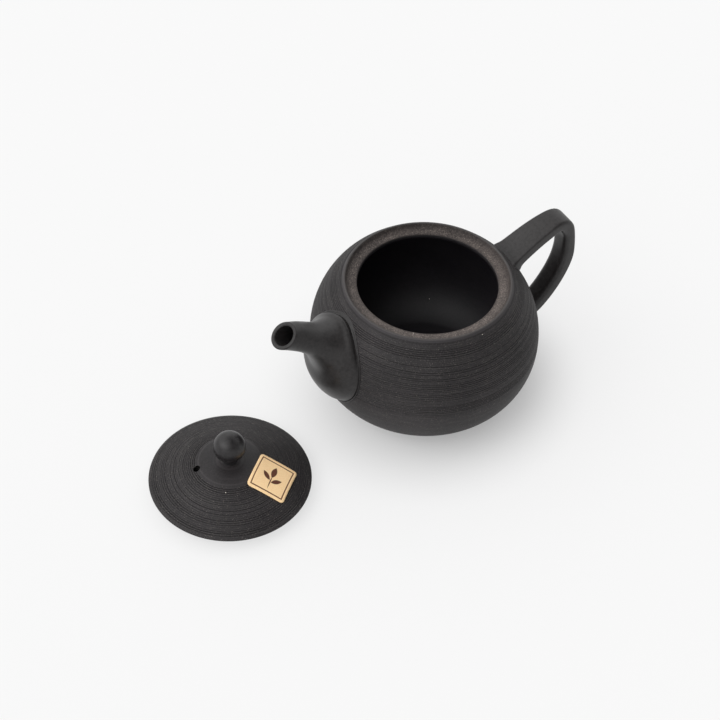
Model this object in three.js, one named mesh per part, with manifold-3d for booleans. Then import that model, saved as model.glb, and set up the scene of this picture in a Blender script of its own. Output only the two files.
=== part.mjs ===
// Back-handle teapot of dark unglazed clay, with its lid laid on the table beside it.
// Millimetres, +Z up. The origin is the centre of the pot's flat foot, the spout
// points along -X and the ear handle stands at the back, along +X.

import * as THREE from 'three';
import { mergeGeometries, mergeVertices } from 'three/addons/utils/BufferGeometryUtils.js';
import Module from 'manifold-3d';

const wasm = await Module();
wasm.setup();

// Sizes of the pot
const bellyRadius = 52.5;
const bellyHeight = 31;
const potHeight = 64.4;
const footRadius = 32.5;
const footRise = 1.0;
const footBevel = 0.6;
const wall = 3.0;
const floorThickness = 4.0;
const footSweep = 75;
const shoulderSweep = 59;

// Sizes of the mouth, its ledge and the crest round it
const mouthRadius = 31.7;
const ledgeWidth = 4.9;
const ledgeDepth = 2.2;
const ledgeThickness = 2.6;
const crestWidth = 1.7;
const mouthBevel = 0.5;

// Sizes of the spout
const spoutBaseHeight = 39.5;
const spoutBaseRadius = 21.4;
const spoutEdge = 0.6;
const spoutReach = 21.4;
const spoutTipRise = 1.2;
const spoutTipTilt = 53;
const spoutLipRadius = 6.5;
const spoutWall = 1.9;
const lipRound = 0.5;

// Sizes of the pierced strainer between the pot and the spout
const strainerRadius = 15.2;
const strainerBand = 2.4;
const strainerBulge = 6.5;
const strainerWall = 2.0;
const strainerTilt = 10;
const strainerHole = 0.85;
const strainerPitch = 2.85;
const strainerRings = 4;

// Sizes of the ear handle
const handleReach = 23.6;
const handleRise = 4.5;
const handleRootTop = 57.5;
const handleRootLow = 16;
const handleThickness = 5.4;
const handleRootWidth = 16;
const handleBackWidth = 11;
const handleLowWidth = 11.8;

// Sizes of the lid and its knob
const lidSkirtDepth = 4.0;
const lidSkirtWall = 2.6;
const lidRimThickness = 2.0;
const lidWall = 2.7;
const lidDiscRadius = 14.5;
const lidDiscRise = 10.0;
const lidCrownRise = 0.9;
const lidDiscStep = 0.35;
const ventRadius = 1.7;
const ventDistance = 15.0;
const ventAzimuth = 166;
const knobRadius = 7.15;
const knobHeight = 26.2;
const knobNeckRadius = 4.3;
const knobFlare = 1.5;
const lidPlace = new THREE.Vector3(-108.7, -13.0, 0);

// Sizes of the square paper label on the lid
const labelSide = 18.5;
const labelCorner = 1.6;
const labelThickness = 0.3;
const labelDistance = 20.3;
const labelAzimuth = -53;
const labelTurn = 3;

// Clearances
const joinGap = 0.3;
const mouthPlay = 0.5;
const crestPlay = 0.4;

// Steps of the round forms
const turnSteps = 48;
const spoutSteps = 32;
const handleSteps = 18;

const clay = { color: 0x3b3938, roughness: 0.62, metalness: 0 };
const paper = { color: 0xd9b98c, roughness: 0.8, metalness: 0 };

const radians = THREE.MathUtils.degToRad;
const flat = (r, z) => new THREE.Vector2(r, z);

// A closed surface with shared corners and no collapsed faces
function sealed(geometry) {
  geometry.deleteAttribute('normal');
  geometry.deleteAttribute('uv');
  const merged = mergeVertices(geometry);
  const corners = merged.index.array;
  const kept = [];
  for (let i = 0; i < corners.length; i += 3) {
    const [a, b, c] = corners.slice(i, i + 3);
    if (a !== b && b !== c && c !== a) kept.push(a, b, c);
  }
  merged.setIndex(kept);
  return merged;
}

function toSolid(geometry) {
  const shape = sealed(geometry);
  return new wasm.Manifold(new wasm.Mesh({
    numProp: 3,
    vertProperties: new Float32Array(shape.attributes.position.array),
    triVerts: new Uint32Array(shape.index.array),
  }));
}

function toMesh(solid, name, look) {
  const { vertProperties, triVerts } = solid.getMesh();
  const geometry = new THREE.BufferGeometry();
  geometry.setAttribute('position', new THREE.BufferAttribute(vertProperties, 3));
  geometry.setIndex(new THREE.BufferAttribute(triVerts, 1));
  geometry.computeVertexNormals();
  const mesh = new THREE.Mesh(geometry, new THREE.MeshStandardMaterial(look));
  mesh.name = name;
  return mesh;
}

// Turns a profile of (radius, height) points about the Z axis
function turned(profile, steps = turnSteps) {
  return new THREE.LatheGeometry(profile, steps).rotateX(Math.PI / 2);
}

// Skins a row of rings with the same number of points and closes both ends
function lofted(rings) {
  const count = rings[0].length;
  const points = rings.flat();
  const first = points.length;
  for (const ring of [rings[0], rings.at(-1)]) {
    const centre = new THREE.Vector3();
    ring.forEach((point) => centre.add(point));
    points.push(centre.divideScalar(count));
  }
  const faces = [];
  for (let j = 0; j < count; j++) {
    const k = (j + 1) % count;
    for (let i = 0; i + 1 < rings.length; i++) {
      const a = i * count + j;
      const b = i * count + k;
      faces.push(a, b, b + count, a, b + count, a + count);
    }
    const end = (rings.length - 1) * count;
    faces.push(first, k, j, first + 1, end + j, end + k);
  }
  const geometry = new THREE.BufferGeometry().setFromPoints(points);
  geometry.setIndex(faces);
  return geometry;
}

// An elliptic arc that is upright at the belly and has turned by sweep degrees at the end
function bellyArc(belly, end, sweep, steps) {
  const turn = radians(sweep);
  const high = (end.y - belly.y) / Math.sin(turn);
  const wide = (belly.x - end.x) / (1 - Math.cos(turn));
  const points = [];
  for (let i = 0; i <= steps; i++) {
    const angle = (turn * i) / steps;
    points.push(flat(belly.x - wide * (1 - Math.cos(angle)), belly.y + high * Math.sin(angle)));
  }
  return points;
}

// The pot's outer curve from the foot to the crest, moved outward by an offset
function outerCurve(offset = 0) {
  const belly = flat(bellyRadius + offset, bellyHeight);
  const foot = flat(footRadius + offset, footRise - offset);
  const crest = flat(crestOuter + offset, crestFoot + offset / 2);
  const lower = bellyArc(belly, foot, footSweep, 7).reverse();
  const upper = bellyArc(belly, crest, shoulderSweep, 8);
  return [...lower, ...upper.slice(1)];
}

const ledgeRadius = mouthRadius + ledgeWidth;
const ledgeHeight = potHeight - ledgeDepth;
const crestOuter = ledgeRadius + crestWidth;
const crestFoot = potHeight - crestWidth / 2;

// Radius of the pot's outer curve at a height
function bodyRadius(height, offset = 0) {
  const curve = outerCurve(offset);
  const z = THREE.MathUtils.clamp(height, curve[0].y, curve.at(-1).y);
  const next = Math.max(1, curve.findIndex((point) => point.y >= z));
  const [low, high] = [curve[next - 1], curve[next]];
  return THREE.MathUtils.lerp(low.x, high.x, (z - low.y) / (high.y - low.y));
}

function crestPoints() {
  const round = crestWidth / 2;
  const points = [];
  for (let angle = 30; angle <= 180; angle += 30) {
    const turn = radians(angle);
    points.push(flat(ledgeRadius + round * (1 + Math.cos(turn)), crestFoot + round * Math.sin(turn)));
  }
  return points;
}

function potProfile() {
  const ledgeUnder = ledgeHeight - ledgeThickness;
  const innerTop = flat(bodyRadius(ledgeUnder) - wall, ledgeUnder);
  const innerBelly = flat(bellyRadius - wall, bellyHeight);
  const innerFoot = flat(footRadius - wall / 2, floorThickness);
  return [
    flat(0, 0),
    flat(footRadius - footBevel, 0),
    ...outerCurve(),
    ...crestPoints(),
    flat(ledgeRadius, ledgeHeight),
    flat(mouthRadius + mouthBevel, ledgeHeight),
    flat(mouthRadius, ledgeHeight - mouthBevel),
    flat(mouthRadius, ledgeUnder + mouthBevel),
    flat(mouthRadius + mouthBevel, ledgeUnder),
    ...bellyArc(innerBelly, innerTop, shoulderSweep, 6).reverse(),
    ...bellyArc(innerBelly, innerFoot, footSweep, 5).slice(1),
    flat(0, floorThickness),
  ];
}

// A round bar along the strainer's axis, from inside the pot out into the spout
function strainerBar(radius) {
  const length = bellyRadius;
  const bar = new THREE.CylinderGeometry(radius, radius, length, spoutSteps);
  bar.rotateZ(Math.PI / 2);
  bar.translate(-length, 0, 0);
  return toSolid(placedOnStrainer(bar));
}

// Moves a form made along -X onto the strainer's tilted axis
function placedOnStrainer(geometry) {
  const tilt = radians(strainerTilt);
  geometry.translate(strainerSeat, 0, 0);
  geometry.rotateY(tilt);
  geometry.translate(-strainerSeat, 0, spoutBaseHeight);
  return geometry;
}

const strainerSeat = bodyRadius(spoutBaseHeight) - wall;

function makePotBody() {
  const body = toSolid(turned(potProfile()));
  return body.subtract(strainerBar(strainerRadius + joinGap));
}

// Hole axes in rings about the dome's axis, each ring six holes more than the last
function strainerHoles(domeRadius, domeCentre) {
  const depth = strainerWall * 3;
  const pins = [];
  for (let ring = 0; ring <= strainerRings; ring++) {
    const count = Math.max(1, ring * 6);
    for (let i = 0; i < count; i++) {
      const pin = new THREE.CylinderGeometry(strainerHole, strainerHole, depth, 6);
      pin.rotateZ(Math.PI / 2);
      pin.translate(domeRadius, 0, 0);
      pin.rotateZ((ring * strainerPitch) / domeRadius);
      pin.rotateX((2 * Math.PI * i) / count);
      pin.translate(domeCentre, 0, 0);
      pins.push(placedOnStrainer(pin));
    }
  }
  return toSolid(mergeGeometries(pins));
}

// A pierced dome that bulges into the pot, on a band that fills the opening in the wall
function makeStrainer() {
  const mouth = strainerRadius - strainerBand / 2;
  const domeRadius = (mouth ** 2 + strainerBulge ** 2) / (2 * strainerBulge);
  const domeCentre = strainerBulge - domeRadius - strainerSeat - wall / 2;
  const inner = domeRadius - strainerWall / 2;
  const outer = domeRadius + strainerWall / 2;
  const ball = (radius) => {
    const sphere = new THREE.IcosahedronGeometry(radius, 3);
    sphere.translate(domeCentre, 0, 0);
    return toSolid(placedOnStrainer(sphere));
  };
  const potWall = toSolid(turned(potProfile(), 28));
  const band = potWall
    .intersect(strainerBar(strainerRadius))
    .subtract(strainerBar(strainerRadius - strainerBand));
  const pot = toSolid(turned([flat(0, 0), ...outerCurve(-wall / 2), flat(0, potHeight)]));
  const dome = ball(outer)
    .subtract(ball(inner))
    .intersect(strainerBar(strainerRadius - strainerBand / 2))
    .intersect(pot);
  return band.add(dome).subtract(strainerHoles(domeRadius, domeCentre));
}

// One ring of the spout: it hugs the pot near the base and stands in its own plane at the tip
function spoutRing({ centre, tilt, high, wide, hug, off }) {
  const lean = radians(tilt);
  const ring = [];
  for (let i = 0; i < spoutSteps; i++) {
    const angle = (2 * Math.PI * i) / spoutSteps;
    const up = high * Math.cos(angle);
    const side = wide * Math.sin(angle);
    const height = centre.y + up;
    const around = side / bodyRadius(centre.y);
    const reach = bodyRadius(height) + off;
    const near = new THREE.Vector3(-reach * Math.cos(around), reach * Math.sin(around), height);
    const free = new THREE.Vector3(
      -centre.x + up * Math.sin(lean),
      side,
      centre.y + up * Math.cos(lean),
    );
    ring.push(free.lerp(near, hug));
  }
  return ring;
}

// The spout's stations from its edge on the pot to its lip, thinned by a wall for the bore
function spoutStations(thin) {
  const start = flat(bodyRadius(spoutBaseHeight), spoutBaseHeight);
  const tip = flat(bellyRadius + spoutReach, potHeight + spoutTipRise);
  const path = new THREE.CubicBezierCurve(
    start,
    flat(start.x + 1, THREE.MathUtils.lerp(start.y, tip.y, 0.42)),
    flat(tip.x - 13.4, THREE.MathUtils.lerp(start.y, tip.y, 0.76)),
    tip,
  );
  const lip = spoutLipRadius;
  const bell = spoutBaseRadius;
  const station = (along, tilt, high, wide, hug, off) => ({
    centre: path.getPoint(along),
    tilt,
    high: high - thin,
    wide: wide - thin,
    hug,
    off: off - thin,
  });
  return [
    station(0, 0, bell, bell, 1, -wall - joinGap),
    station(0, 0, bell, bell, 1, spoutEdge),
    station(0.07, 0, bell * 0.91, bell * 0.87, 1, 3.6),
    station(0.19, 22, bell * 0.73, bell * 0.68, 0.63, 6.5),
    station(0.36, 20, lip + (bell - lip) * 0.32, lip + (bell - lip) * 0.3, 0.25, 8),
    station(0.58, 26, lip + (bell - lip) * 0.07, lip + (bell - lip) * 0.12, 0, 0),
    station(0.74, 31, lip, lip + (bell - lip) * 0.06, 0, 0),
    station(0.88, 38, lip, lip, 0, 0),
    station(1, spoutTipTilt, lip, lip, 0, 0),
  ];
}

// Rings between the stations, on a smooth curve through each row of matching points
function spoutSkin(stations, fine) {
  const keys = stations.map(spoutRing);
  const edge = keys[0];
  const rows = edge.map((point, i) => new THREE.CatmullRomCurve3(
    keys.slice(1).map((ring) => ring[i]),
    false,
    'centripetal',
  ));
  const rings = [edge];
  for (let i = 0; i <= fine; i++) {
    rings.push(rows.map((row) => row.getPoint(i / fine)));
  }
  return rings;
}

// The tip ring shrunk or widened, and moved along the lip's own axis
function lipRing(grow, forward) {
  const tip = spoutStations(0).at(-1);
  const lean = radians(spoutTipTilt);
  const centre = flat(tip.centre.x + forward * Math.cos(lean), tip.centre.y + forward * Math.sin(lean));
  return spoutRing({ ...tip, centre, high: tip.high + grow, wide: tip.wide + grow });
}

function makeSpout() {
  const shell = [...spoutSkin(spoutStations(0), 12), lipRing(-lipRound, lipRound)];
  const bore = [
    ...spoutSkin(spoutStations(spoutWall), 10),
    lipRing(lipRound - spoutWall, lipRound),
    lipRing(lipRound - spoutWall, lipRound + 1),
  ];
  const clearOfPot = [flat(0, 0), ...outerCurve(joinGap), flat(0, potHeight + joinGap)];
  return toSolid(lofted(shell))
    .subtract(toSolid(lofted(bore)))
    .subtract(toSolid(turned(clearOfPot, turnSteps)));
}

// Centre line of the handle, from inside the shoulder over the bend to inside the belly
function handlePath() {
  const back = bellyRadius + handleReach;
  const top = potHeight + handleRise;
  const at = (r, z) => new THREE.Vector3(r, 0, z);
  const rootTop = bodyRadius(handleRootTop);
  const rootLow = bodyRadius(handleRootLow);
  return new THREE.CatmullRomCurve3([
    at(rootTop - 6, handleRootTop - 3.4),
    at(rootTop + 1.5, handleRootTop + 1.6),
    at(THREE.MathUtils.lerp(rootTop, back, 0.49), top - 2.6),
    at(back - 6.2, top),
    at(back - 2.1, top - 2.7),
    at(back - 0.4, top - 12),
    at(back, top - 23.6),
    at(back - 5.2, THREE.MathUtils.lerp(handleRootLow, top, 0.31)),
    at(back - 14.4, THREE.MathUtils.lerp(handleRootLow, top, 0.1)),
    at(rootLow + 1.5, handleRootLow + 0.5),
    at(rootLow - 5, handleRootLow - 1),
  ], false, 'centripetal');
}

function handleWidth(along) {
  const stops = [0, 0.22, 0.36, 0.5, 0.8, 1];
  const widths = [
    handleRootWidth,
    THREE.MathUtils.lerp(handleRootWidth, handleBackWidth, 0.58),
    THREE.MathUtils.lerp(handleRootWidth, handleBackWidth, 0.88),
    handleBackWidth,
    handleBackWidth,
    handleLowWidth,
  ];
  const next = Math.max(1, stops.findIndex((stop) => stop >= along));
  const share = (along - stops[next - 1]) / (stops[next] - stops[next - 1]);
  return THREE.MathUtils.lerp(widths[next - 1], widths[next], share);
}

// A strap with rounded edges that narrows over its bend
function makeHandle() {
  const path = handlePath();
  const lengths = 26;
  const squareness = 3.4;
  const rings = [];
  for (let i = 0; i <= lengths; i++) {
    const along = i / lengths;
    const centre = path.getPointAt(along);
    const ahead = path.getTangentAt(along);
    const out = new THREE.Vector3(-ahead.z, 0, ahead.x);
    const ring = [];
    for (let j = 0; j < handleSteps; j++) {
      const angle = (2 * Math.PI * (j + 0.5)) / handleSteps;
      const soft = (value) => Math.sign(value) * Math.abs(value) ** (2 / squareness);
      const point = centre.clone();
      point.addScaledVector(out, (handleThickness / 2) * soft(Math.cos(angle)));
      point.y -= (handleWidth(along) / 2) * soft(Math.sin(angle));
      ring.push(point);
    }
    rings.push(ring);
  }
  const clearOfPot = [flat(0, 0), ...outerCurve(joinGap), flat(0, potHeight + joinGap)];
  return toSolid(lofted(rings)).subtract(toSolid(turned(clearOfPot)));
}

const lidRadius = ledgeRadius - crestPlay;
const skirtRadius = mouthRadius - mouthPlay;
const lidEdge = lidSkirtDepth + lidRimThickness;
const discHeight = lidEdge + lidDiscRise;
const crownHeight = discHeight + lidCrownRise;
const knobSeat = knobNeckRadius + knobFlare + 0.8;

// The lid's upper curve from its edge to the middle, raised by an offset
function lidTop(offset = 0) {
  const edge = flat(lidRadius, lidEdge - 0.6);
  const slope = new THREE.QuadraticBezierCurve(
    flat(lidRadius - 0.6, lidEdge),
    flat(
      THREE.MathUtils.lerp(lidRadius, lidDiscRadius, 0.45),
      THREE.MathUtils.lerp(lidEdge, discHeight, 0.52),
    ),
    flat(lidDiscRadius + 0.5, discHeight - lidDiscStep),
  );
  const crown = [0.75, 0.5].map((share) => flat(
    knobSeat + (lidDiscRadius - knobSeat) * share,
    crownHeight - lidCrownRise * share ** 2,
  ));
  const points = [
    edge,
    ...slope.getPoints(6),
    flat(lidDiscRadius, discHeight),
    ...crown,
    flat(knobSeat, crownHeight),
    flat(0, crownHeight),
  ];
  return points.map((point) => flat(point.x, point.y + offset));
}

function lidProfile() {
  const innerSkirt = skirtRadius - lidSkirtWall;
  const ceiling = crownHeight - lidWall;
  const hollow = new THREE.QuadraticBezierCurve(
    flat(innerSkirt, lidSkirtDepth),
    flat(innerSkirt * 0.7, ceiling - 1.2),
    flat(lidDiscRadius * 0.6, ceiling),
  );
  return [
    flat(0, ceiling),
    ...hollow.getPoints(5).reverse(),
    flat(innerSkirt + 0.4, 0),
    flat(skirtRadius - 0.4, 0),
    flat(skirtRadius, 0.5),
    flat(skirtRadius, lidSkirtDepth),
    flat(lidRadius - 0.4, lidSkirtDepth),
    flat(lidRadius, lidSkirtDepth + 0.4),
    ...lidTop(),
  ];
}

function makeLid() {
  const vent = new THREE.CylinderGeometry(ventRadius, ventRadius, crownHeight * 2, 20);
  vent.rotateX(Math.PI / 2);
  vent.translate(ventDistance, 0, crownHeight);
  vent.rotateZ(radians(ventAzimuth));
  return toSolid(turned(lidProfile())).subtract(toSolid(vent));
}

// A ball on a short neck that flares where it meets the lid
function makeKnob() {
  const seat = crownHeight + joinGap;
  const start = Math.asin(knobNeckRadius / knobRadius);
  const points = [
    flat(0, seat),
    flat(knobNeckRadius + knobFlare, seat),
    flat(knobNeckRadius + knobFlare * 0.35, seat + knobFlare * 0.5),
    flat(knobNeckRadius, seat + knobFlare * 1.2),
  ];
  const steps = 10;
  for (let i = 0; i <= steps; i++) {
    const angle = start + ((Math.PI - start) * i) / steps;
    const radius = i === steps ? 0 : knobRadius * Math.sin(angle);
    points.push(flat(radius, knobHeight - knobRadius * Math.cos(angle)));
  }
  return toSolid(turned(points, 26));
}

// A thin square of paper that follows the lid's slope
function makeLabel() {
  const half = labelSide / 2;
  const square = new THREE.Shape();
  square.moveTo(half - labelCorner, -half);
  square.absarc(half - labelCorner, labelCorner - half, labelCorner, -Math.PI / 2, 0);
  square.absarc(half - labelCorner, half - labelCorner, labelCorner, 0, Math.PI / 2);
  square.absarc(labelCorner - half, half - labelCorner, labelCorner, Math.PI / 2, Math.PI);
  square.absarc(labelCorner - half, labelCorner - half, labelCorner, Math.PI, 1.5 * Math.PI);
  const slope = Math.atan2(discHeight - lidEdge, lidRadius - lidDiscRadius);
  const middle = THREE.MathUtils.lerp(
    discHeight,
    lidEdge,
    (labelDistance - lidDiscRadius) / (lidRadius - lidDiscRadius),
  );
  const punch = new THREE.ExtrudeGeometry(square, { depth: 8, bevelEnabled: false, curveSegments: 4 });
  punch.translate(0, 0, -4);
  punch.rotateZ(radians(labelTurn));
  punch.rotateY(slope);
  punch.translate(labelDistance, 0, middle);
  punch.rotateZ(radians(labelAzimuth));
  const under = lidTop(joinGap).reverse();
  const over = lidTop(joinGap + labelThickness);
  const skin = toSolid(turned([...under, ...over]));
  return skin.intersect(toSolid(punch));
}

const pot = new THREE.Group();
pot.add(toMesh(makePotBody(), 'pot_body', clay));
pot.add(toMesh(makeSpout(), 'spout', clay));
pot.add(toMesh(makeStrainer(), 'strainer', clay));
pot.add(toMesh(makeHandle(), 'handle', clay));

const lid = new THREE.Group();
lid.position.copy(lidPlace);
lid.add(toMesh(makeLid(), 'lid', clay));
lid.add(toMesh(makeKnob(), 'lid_knob', clay));
lid.add(toMesh(makeLabel(), 'label', paper));

const teapot = new THREE.Group();
teapot.add(pot, lid);

export default teapot;
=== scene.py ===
# %% [markdown]
# # A back-handle teapot of dark, unglazed, combed clay
#
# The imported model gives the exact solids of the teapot. This lesson dresses them: every
# piece is modelled again with the detail of the real one, such as the comb lines cut on
# the wheel, the beaded edge of the spout and the pierced dome behind it.
#
# Blender works in metres. The sizes of this teapot are written in millimetres, as a potter
# would say them, and `MM` turns them into metres. The origin is the middle of the flat
# foot, +Z is up, the spout points along -X and the handle stands along +X.

import math
import random

import bmesh
import bpy
import numpy as np
from mathutils import Euler, Matrix, Vector


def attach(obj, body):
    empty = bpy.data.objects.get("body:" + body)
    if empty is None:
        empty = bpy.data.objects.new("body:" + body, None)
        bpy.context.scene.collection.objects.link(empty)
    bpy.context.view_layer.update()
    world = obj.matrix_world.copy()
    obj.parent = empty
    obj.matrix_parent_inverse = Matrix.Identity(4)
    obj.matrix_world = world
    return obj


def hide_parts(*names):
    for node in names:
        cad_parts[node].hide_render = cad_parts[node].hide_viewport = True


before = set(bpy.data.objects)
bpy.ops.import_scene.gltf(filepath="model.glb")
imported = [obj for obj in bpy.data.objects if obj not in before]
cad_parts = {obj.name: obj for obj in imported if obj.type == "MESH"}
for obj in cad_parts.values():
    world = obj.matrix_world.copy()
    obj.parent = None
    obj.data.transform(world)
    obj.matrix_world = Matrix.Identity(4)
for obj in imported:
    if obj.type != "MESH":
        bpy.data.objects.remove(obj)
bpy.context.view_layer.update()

MM = 0.001


def rounded(lengths):
    return [round(length / MM, 1) for length in lengths]


# %% [markdown]
# ## Starting each piece with empty hands
#
# An operator in Blender acts on all that is selected, and loading the frame leaves its
# nodes selected. So each new piece starts with nothing selected. `start_piece` does that,
# and `take` also picks up a piece that is there already. `finish_piece` leaves edit mode
# and gives the piece its name and smooth shading. Shading by angle keeps an edge crisp
# where two faces meet at more than the given angle.

# %% Starting, taking up and finishing a piece
def start_piece():
    if bpy.context.object and bpy.context.object.mode == "EDIT":
        bpy.ops.object.mode_set(mode="OBJECT")
    bpy.ops.object.select_all(action="DESELECT")


def take(piece):
    start_piece()
    bpy.context.view_layer.objects.active = piece
    piece.select_set(True)


def finish_piece(name, crease=40):
    bpy.ops.object.mode_set(mode="OBJECT")
    piece = bpy.context.object
    piece.name = name
    piece.data.name = name
    bpy.ops.object.shade_smooth_by_angle(angle=math.radians(crease))
    print(name, "has", len(piece.data.polygons), "faces")
    return piece


# %% [markdown]
# ## Throwing on the wheel
#
# A pot, a lid and a knob are thrown: every cut through the axis shows the same profile.
# The profile is drawn as a chain of edges. It starts as a small plane merged to one point,
# and each next point is extruded from the last. The spin operator then turns the chain
# once round the axis. The first and last points lie on the axis, so that the surface
# closes when its doubles are merged. A spin can come out inside out, so the normals are
# made consistent afterwards.

# %% A piece thrown from a profile
SAME_SPOT = 0.002 * MM


def thrown(name, profile, turns, axis=(0, 0), crease=40):
    start_piece()
    bpy.ops.mesh.primitive_plane_add(size=MM, enter_editmode=True)
    bpy.ops.mesh.merge(type="CENTER")
    first = profile[0]
    move = (axis[0] + first[0], axis[1], first[1])
    bpy.ops.transform.translate(value=[value * MM for value in move])
    for near, far in zip(profile, profile[1:]):
        step = ((far[0] - near[0]) * MM, 0, (far[1] - near[1]) * MM)
        bpy.ops.mesh.extrude_region_move(TRANSFORM_OT_translate={"value": step})
    bpy.ops.mesh.select_all(action="SELECT")
    centre = (axis[0] * MM, axis[1] * MM, 0)
    bpy.ops.mesh.spin(steps=turns, angle=math.tau, center=centre, axis=(0, 0, 1))
    bpy.ops.mesh.select_all(action="SELECT")
    bpy.ops.mesh.remove_doubles(threshold=SAME_SPOT)
    bpy.ops.mesh.normals_make_consistent(inside=False)
    return finish_piece(name, crease)


# %% [markdown]
# ## Pulling a strap or a spout
#
# A handle and a spout aren't round about one axis. They are pulled out of the clay: a ring
# of points is extruded again and again, and after each extrusion the new corners are set
# on the next ring. The rings come from short functions further down, which say what the
# cut through the piece is at each place. A hollow piece runs up its outside and down its
# bore, so its last ring is joined to its first one. A solid piece is closed at both ends.

# %% A piece pulled through a row of rings
def place_ring(mesh, corners, ring):
    for corner, point in zip(corners, ring):
        mesh.verts[corner].co = Vector(point) * MM


def next_corners(mesh, corners):
    ahead = []
    for corner in corners:
        vertex = mesh.verts[corner]
        joined = [edge.other_vert(vertex) for edge in vertex.link_edges]
        ahead += [other.index for other in joined if other.select]
    return ahead


def select_first_ring(data, count):
    mesh = bmesh.from_edit_mesh(data)
    mesh.verts.ensure_lookup_table()
    for corner in range(count):
        mesh.verts[corner].select = True
    mesh.select_flush(True)


def close_ends(data, count, joined_ends):
    if joined_ends:
        select_first_ring(data, count)
        bpy.ops.mesh.bridge_edge_loops()
        return
    bpy.ops.mesh.edge_face_add()
    bpy.ops.mesh.select_all(action="DESELECT")
    select_first_ring(data, count)
    bpy.ops.mesh.edge_face_add()


def pulled(name, rings, joined_ends, crease=40):
    start_piece()
    count = len(rings[0])
    bpy.ops.mesh.primitive_circle_add(vertices=count, radius=MM, enter_editmode=True)
    data = bpy.context.object.data
    corners = list(range(count))
    for number, ring in enumerate(rings):
        if number:
            bpy.ops.mesh.extrude_region_move()
        mesh = bmesh.from_edit_mesh(data)
        mesh.verts.ensure_lookup_table()
        mesh.verts.index_update()
        if number:
            corners = next_corners(mesh, corners)
        place_ring(mesh, corners, ring)
        bmesh.update_edit_mesh(data)
    close_ends(data, count, joined_ends)
    bpy.ops.mesh.select_all(action="SELECT")
    bpy.ops.mesh.normals_make_consistent(inside=False)
    return finish_piece(name, crease)


# %% [markdown]
# ## Cutting a hole
#
# A hole is cut with the Boolean modifier: a second piece, the cutter, is taken away from
# the first one. The modifier is applied at once, so that the hole is in the mesh, and the
# cutter is thrown away.

# %% A cut with a modifier
def cut(piece, cutter):
    take(piece)
    bpy.ops.object.modifier_add(type="BOOLEAN")
    modifier = piece.modifiers[-1]
    modifier.operation = "DIFFERENCE"
    modifier.solver = "EXACT"
    modifier.object = cutter
    bpy.ops.object.modifier_apply(modifier=modifier.name)
    bpy.data.objects.remove(cutter)
    print(piece.name, "has", len(piece.data.polygons), "faces after the cut")


def round_cutter(radius, length, middle, turn=(0, 0, 0)):
    start_piece()
    bpy.ops.mesh.primitive_cylinder_add(
        vertices=48,
        radius=radius * MM,
        depth=length * MM,
        location=Vector(middle) * MM,
        rotation=turn,
    )
    return bpy.context.object


# %% [markdown]
# ## The curve of the wall
#
# The wall is upright at the belly. Above it an arc of an ellipse leans in to the mouth,
# and below it another arc runs in to the foot. Both arcs are cut short, so the wall meets
# the crest and the table at an angle, as on the real pot. A sweep says how many degrees of
# its ellipse an arc takes. The same function draws the outside and the inside.
#
# The crest is the thin edge of clay that stands round the lid. Inside it lies the ledge
# that carries the lid, and inside that the mouth.

# %% Sizes of the pot and its two arcs
BELLY_RADIUS, BELLY_HEIGHT = 52.5, 31.0
POT_HEIGHT = 64.4
FOOT_RADIUS, FOOT_RISE = 32.5, 1.0
WALL = 3.0
FLOOR = 4.0
FOOT_SWEEP, SHOULDER_SWEEP = 75, 59

MOUTH_RADIUS = 31.7
LEDGE_RADIUS = MOUTH_RADIUS + 4.9
LEDGE_HEIGHT = POT_HEIGHT - 2.2
LEDGE_UNDER = LEDGE_HEIGHT - 2.6
CREST_WIDTH = 1.7
CREST_RADIUS = LEDGE_RADIUS + CREST_WIDTH
CREST_FOOT = POT_HEIGHT - CREST_WIDTH / 2


def belly_arc(belly, end, sweep, steps):
    turn = math.radians(sweep)
    high = (end[1] - belly[1]) / math.sin(turn)
    wide = (belly[0] - end[0]) / (1 - math.cos(turn))
    angles = np.linspace(0, turn, steps + 1)
    across = belly[0] - wide * (1 - np.cos(angles))
    up = belly[1] + high * np.sin(angles)
    return list(zip(across.tolist(), up.tolist()))


def outer_curve(steps=120):
    belly = (BELLY_RADIUS, BELLY_HEIGHT)
    lower = belly_arc(belly, (FOOT_RADIUS, FOOT_RISE), FOOT_SWEEP, steps)[::-1]
    upper = belly_arc(belly, (CREST_RADIUS, CREST_FOOT), SHOULDER_SWEEP, steps)
    return lower + upper[1:]


OUTER = np.array(outer_curve())


def body_radius(height):
    return float(np.interp(height, OUTER[:, 1], OUTER[:, 0]))


print("radius of the wall at half height:", round(body_radius(POT_HEIGHT / 2), 1), "mm")


# %% [markdown]
# ## Comb lines
#
# While the pot turns, the potter holds a comb against the leather-hard clay. It leaves
# rings that are never quite the same depth or distance apart. They could be a bump in the
# material, but then the outline would stay smooth and the lines would be lost in the
# exported meshes. So they are cut into the profile before it is spun. `combed` walks along
# a curve and writes four points for each line, whose pitch and depth vary a little. The
# random numbers are seeded, so the lines are the same each time.

# %% Lines cut into a profile
COMB_PITCH, COMB_DEPTH = 0.92, 0.22
PITCH_SPREAD = (0.8, 1.2)
DEPTH_SHARES = (0.5, 0.75, 1.0, 1.0, 1.3)
HALF_LINE = 0.3
SLOPE_REACH = 0.3


def along_curve(curve):
    """A function from distance along a curve to the point there, and the curve's length."""
    curve = np.asarray(curve, float)
    lengths = np.hypot(*np.diff(curve, axis=0).T)
    distance = np.concatenate([[0], np.cumsum(lengths)])

    def spot(where):
        return [np.interp(where, distance, curve[:, axis]) for axis in (0, 1)]

    def point(where, inward=0.0):
        at, ahead, behind = spot(where), spot(where + SLOPE_REACH), spot(where - SLOPE_REACH)
        run, rise = ahead[0] - behind[0], ahead[1] - behind[1]
        size = math.hypot(run, rise)
        return (at[0] - inward * rise / size, at[1] + inward * run / size)

    return point, float(distance[-1])


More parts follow.
